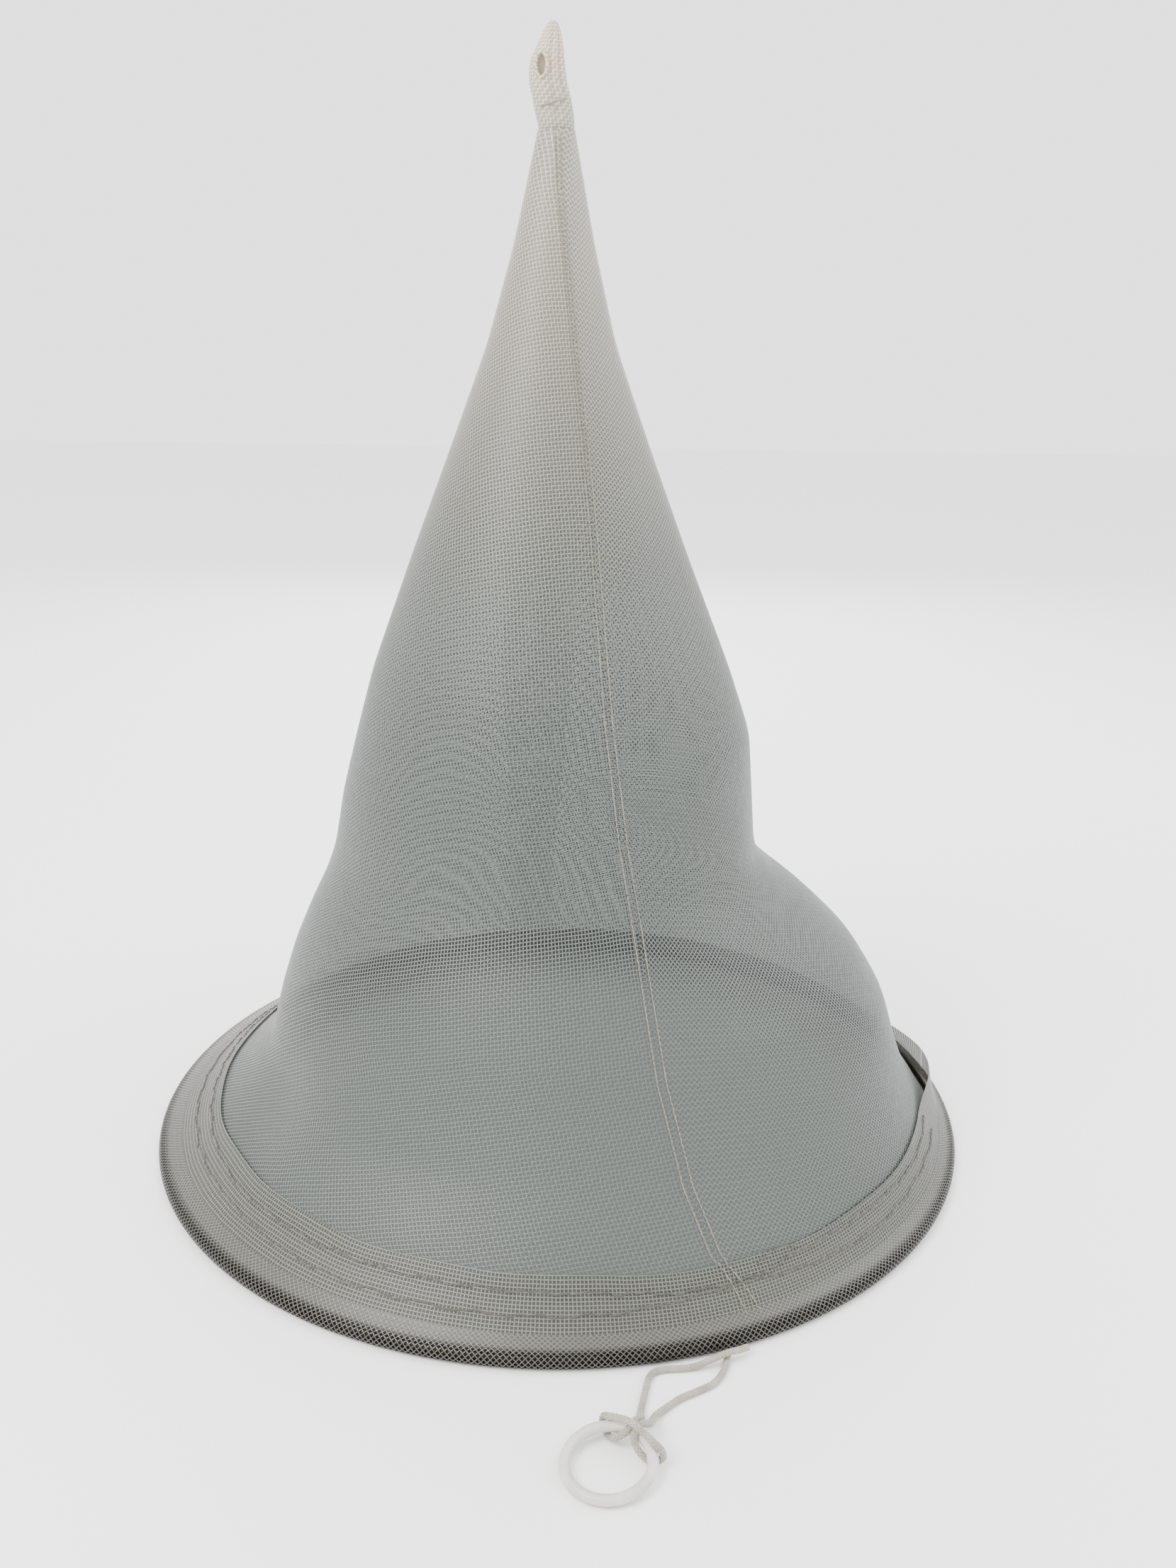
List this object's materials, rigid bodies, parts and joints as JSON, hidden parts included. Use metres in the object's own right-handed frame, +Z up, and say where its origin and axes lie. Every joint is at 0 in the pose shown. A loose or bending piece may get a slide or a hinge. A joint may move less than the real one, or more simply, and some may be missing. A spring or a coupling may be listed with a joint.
{
  "type": "cone strainer",
  "caption": "Conical woven nylon mesh strainer on a sprung wire hoop, with a sewn hem, a folded tip and a pull ring on a short braided cord.",
  "frame": {"origin": "centre of the wire hoop, on the surface that the hoop stands on", "axes": "+Z up the cone from its mouth to its tip; -Y towards the pull ring"},
  "size_m": [0.28, 0.3264, 0.3536],
  "materials": {
    "mesh": "open plain weave of clear nylon yarn, slightly glossy",
    "band": "doubled nylon mesh, whiter than the single layer",
    "thread": "beige sewing thread",
    "wire": "drawn spring steel, satin",
    "cord": "off-white round braided cord",
    "ring": "moulded off-white plastic, satin gloss"
  },
  "bodies": {
    "hoop_and_cone": {"wire_hoop": "wire", "hem_band": "band", "hem_stitching_lower": "thread", "hem_stitching_upper": "thread", "mesh_lower_left": "mesh", "mesh_lower_right": "mesh", "mesh_upper_left": "mesh", "mesh_upper_right": "mesh", "back_lap": "mesh", "seam_stitching_left": "thread", "seam_stitching_right": "thread"},
    "tip": {"tip_tab": "mesh", "tip_tack": "thread"},
    "cord_loop": {"cord_long_leg": "cord", "cord_short_leg": "cord"},
    "hitch": {"cord_hitch": "cord"},
    "ring": {"pull_ring": "ring"}
  },
  "joints": [
    {"name": "cone_collapse", "type": "slide", "parent": "hoop_and_cone", "child": "tip", "axis": [0, 0, -1], "range_m": [0, 0.1844], "deforming": ["mesh_lower_left", "mesh_lower_right", "mesh_upper_left", "mesh_upper_right", "back_lap", "seam_stitching_left", "seam_stitching_right"]},
    {"name": "loop_swing", "type": "hinge", "parent": "hoop_and_cone", "child": "cord_loop", "pos_m": [0.04995, -0.1329, 0.003], "axis": [-0.9361, -0.3518, 0], "range_deg": [0, 90]},
    {"name": "ring_tilt", "type": "hinge", "parent": "cord_loop", "child": "hitch", "pos_m": [0.0226, -0.1607, 0.0029], "axis": [-0.8108, 0.5853, 0], "range_deg": [0, 65]},
    {"name": "ring_turn", "type": "hinge", "parent": "hitch", "child": "ring", "pos_m": [0.013, -0.174, 0.00281], "axis": [-0.0763, -0.091, 0.9929], "continuous": true}
  ]
}
